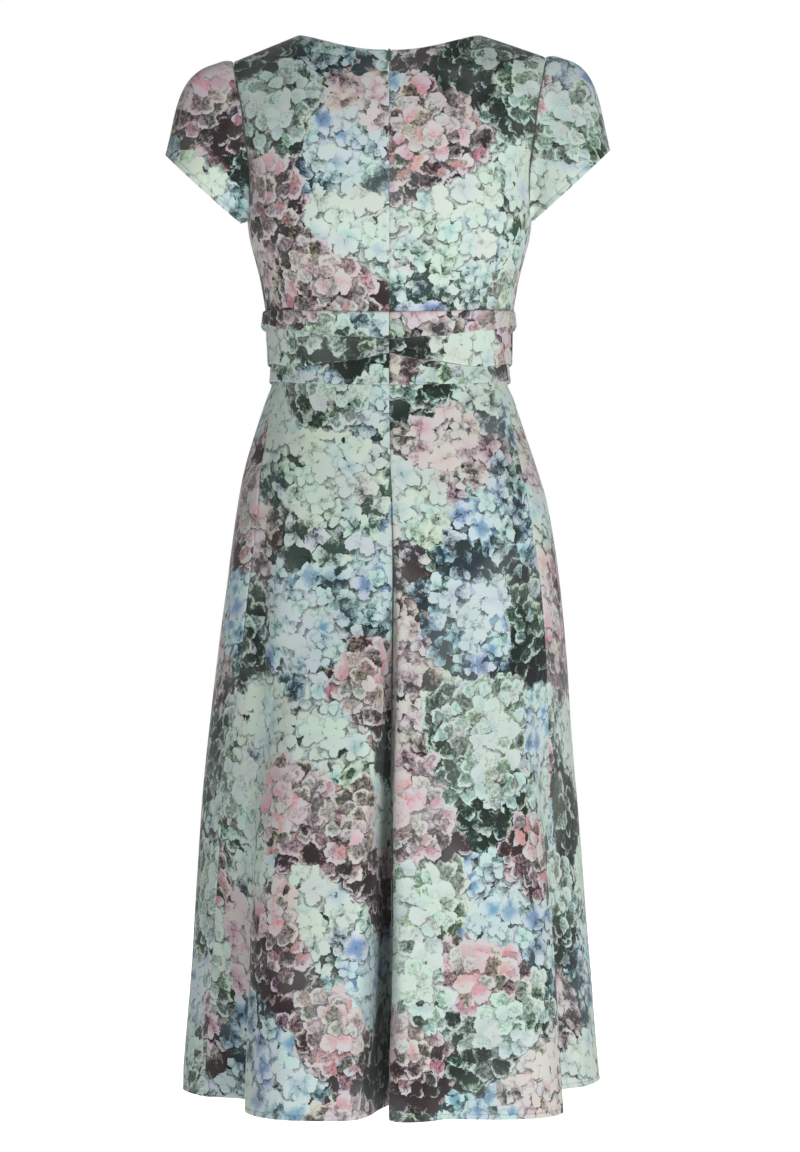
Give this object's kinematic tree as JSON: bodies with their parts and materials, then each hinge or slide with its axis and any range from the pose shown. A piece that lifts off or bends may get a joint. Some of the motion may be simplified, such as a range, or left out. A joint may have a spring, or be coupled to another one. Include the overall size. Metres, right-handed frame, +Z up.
{
  "type": "cocktail dress",
  "caption": "Hollow midi dress as worn: wide shallow neck, cap sleeves, folded waistband, flared skirt with deep folds, zip with a swinging pull at the centre back.",
  "frame": {"origin": "midway between the two shoulder neck points, where the wearer's shoulders hold the dress up", "axes": "+X the wearer's left, +Y the back of the dress, +Z up"},
  "size_m": [0.498, 0.478, 1.1783],
  "materials": {
    "cloth": "matte woven, printed all over with flower heads in mint, blue, mauve and dark green",
    "zip_tape": "matte woven tape",
    "zip_metal": "semi-gloss green enamel"
  },
  "bodies": {
    "dress": {"bodice_back_left": "cloth", "bodice_back_right": "cloth", "bodice_front": "cloth", "sleeve_left": "cloth", "sleeve_right": "cloth", "waistband_back_left": "cloth", "waistband_back_right": "cloth", "waistband_front": "cloth", "skirt_back_left": "cloth", "skirt_back_right": "cloth", "skirt_front": "cloth", "zip_tape": "zip_tape", "zip_slider": "zip_metal"},
    "pull_tab": {"zip_pull": "zip_metal"}
  },
  "joints": [
    {"name": "pull_swing", "type": "hinge", "parent": "dress", "child": "pull_tab", "pos_m": [0, 0.07681, -0.02738], "axis": [1, 0, 0], "range_deg": [0, 160]}
  ]
}
